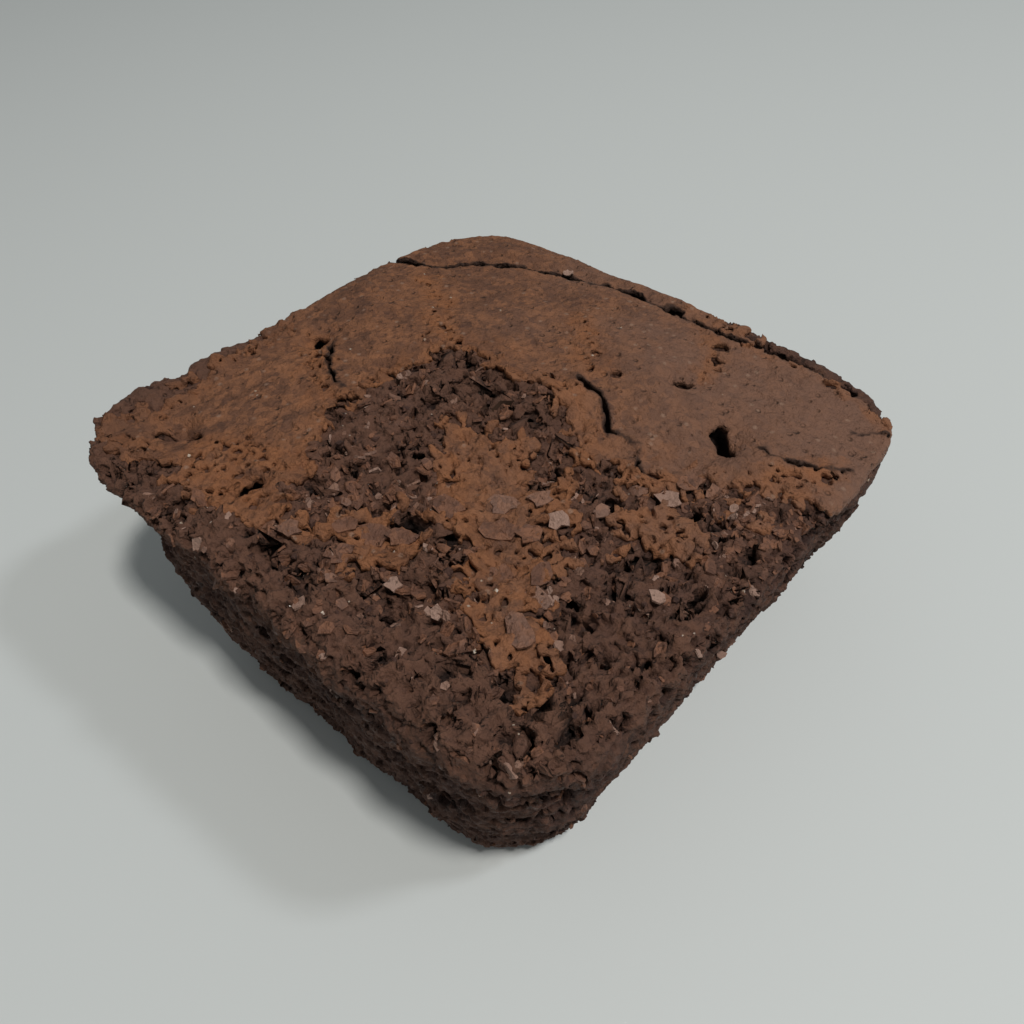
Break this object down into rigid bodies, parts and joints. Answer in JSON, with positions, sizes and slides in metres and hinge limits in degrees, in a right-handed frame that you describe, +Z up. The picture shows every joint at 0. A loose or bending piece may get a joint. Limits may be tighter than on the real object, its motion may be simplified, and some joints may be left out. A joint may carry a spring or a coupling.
{
  "type": "chocolate brownie",
  "caption": "Square chocolate brownie with rounded corners, sides that narrow to a flat base, a smooth crust at the back and rough open crumb at the front.",
  "frame": {"origin": "centre of the bounding box on the plane that the flat base rests on", "axes": "+Z up; +X towards the side right of the worn front corner, +Y away from the side left of it, so the worn corner is at +X -Y"},
  "size_m": [0.0702, 0.0694, 0.0307],
  "materials": {
    "crumb": "matte porous baked chocolate crumb",
    "crust": "matte papery baked crust"
  },
  "bodies": {
    "root": {"brownie": "crumb"}
  },
  "joints": []
}
